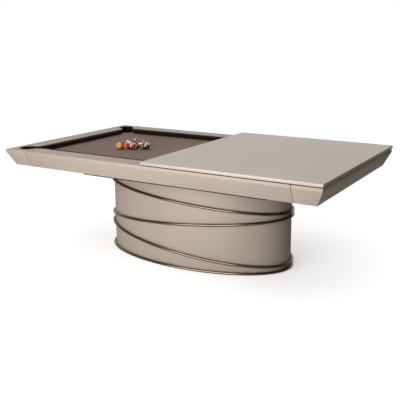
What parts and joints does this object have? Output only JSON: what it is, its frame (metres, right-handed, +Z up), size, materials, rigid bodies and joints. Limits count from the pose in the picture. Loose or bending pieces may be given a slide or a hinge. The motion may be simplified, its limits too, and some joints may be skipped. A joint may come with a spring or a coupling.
{
  "type": "pool table",
  "caption": "Pool table with a flat mitred rim, six drop pockets, a half dining cover and an elliptical pedestal ringed by tilted bronze tubes.",
  "frame": {"origin": "on the floor, under the middle of the playing field and of the pedestal", "axes": "+X along the table towards the covered end, +Y across it away from the viewer, +Z up"},
  "size_m": [2.608, 1.496, 0.8645],
  "materials": {
    "champagne_lacquer": "satin sprayed lacquer on board",
    "cover_lacquer": "satin sprayed lacquer on board",
    "birch_plywood": "sanded plywood",
    "black_stained_beech": "black stain, matt",
    "dark_bronze": "dark bronze tube, polished",
    "zinc_plated_steel": "zinc plate",
    "slate": "ground slate",
    "bed_cloth": "worsted cloth",
    "cushion_cloth": "gum rubber under worsted cloth",
    "black_rubber": "moulded rubber, matt",
    "black_leather": "moulded leather, matt",
    "felt_strip": "wool felt",
    "ball_resin": "polished cast resin"
  },
  "bodies": {
    "table": {"pedestal_shell_front": "champagne_lacquer", "pedestal_shell_back": "champagne_lacquer", "pedestal_base_plate": "birch_plywood", "pedestal_top_plate": "birch_plywood", "pedestal_spine": "birch_plywood", "pedestal_ribs": "birch_plywood", "ring_base": "dark_bronze", "ring_lower": "dark_bronze", "ring_middle": "dark_bronze", "ring_upper": "dark_bronze", "support_beam_front": "black_stained_beech", "support_beam_back": "black_stained_beech", "support_cross_beams": "black_stained_beech", "bed_beam_front": "black_stained_beech", "bed_beam_back": "black_stained_beech", "bed_end_beams": "black_stained_beech", "bed_cross_beams": "black_stained_beech", "frame_bolts": "zinc_plated_steel", "slate_left": "slate", "slate_centre": "slate", "slate_right": "slate", "slate_screws": "zinc_plated_steel", "bed_cloth": "bed_cloth", "rail_front": "champagne_lacquer", "rail_back": "champagne_lacquer", "rail_left": "champagne_lacquer", "rail_right": "champagne_lacquer", "rail_bolts": "zinc_plated_steel", "corner_front_left": "champagne_lacquer", "corner_front_right": "champagne_lacquer", "corner_back_left": "champagne_lacquer", "corner_back_right": "champagne_lacquer", "cushion_front_left": "cushion_cloth", "cushion_front_right": "cushion_cloth", "cushion_back_left": "cushion_cloth", "cushion_back_right": "cushion_cloth", "cushion_end_left": "cushion_cloth", "cushion_end_right": "cushion_cloth", "cushion_facings": "black_rubber", "pocket_liner_front_left": "black_rubber", "pocket_liner_front_middle": "black_rubber", "pocket_liner_front_right": "black_rubber", "pocket_liner_back_left": "black_rubber", "pocket_liner_back_middle": "black_rubber", "pocket_liner_back_right": "black_rubber", "pocket_cup_front_left": "black_leather", "pocket_cup_front_middle": "black_leather", "pocket_cup_front_right": "black_leather", "pocket_cup_back_left": "black_leather", "pocket_cup_back_middle": "black_leather", "pocket_cup_back_right": "black_leather", "foot_inserts": "zinc_plated_steel"},
    "cover": {"cover_panel": "cover_lacquer", "cover_battens": "birch_plywood", "cover_felt": "felt_strip"},
    "balls": {"ball_set": "ball_resin"},
    "foot_front_left": {"foot_front_left": "zinc_plated_steel"},
    "foot_front_right": {"foot_front_right": "zinc_plated_steel"},
    "foot_back_left": {"foot_back_left": "zinc_plated_steel"},
    "foot_back_right": {"foot_back_right": "zinc_plated_steel"}
  },
  "joints": [
    {"name": "cover_lift", "type": "slide", "parent": "table", "child": "cover", "axis": [0, 0, 1], "range_m": [0, 0.35]},
    {"name": "balls_lift", "type": "slide", "parent": "table", "child": "balls", "axis": [0, 0, 1], "range_m": [0, 0.3]},
    {"name": "foot_front_left_travel", "type": "slide", "parent": "table", "child": "foot_front_left", "axis": [0, 0, -1], "range_m": [0, 0.015]},
    {"name": "foot_front_right_travel", "type": "slide", "parent": "table", "child": "foot_front_right", "axis": [0, 0, -1], "range_m": [0, 0.015]},
    {"name": "foot_back_left_travel", "type": "slide", "parent": "table", "child": "foot_back_left", "axis": [0, 0, -1], "range_m": [0, 0.015]},
    {"name": "foot_back_right_travel", "type": "slide", "parent": "table", "child": "foot_back_right", "axis": [0, 0, -1], "range_m": [0, 0.015]}
  ]
}
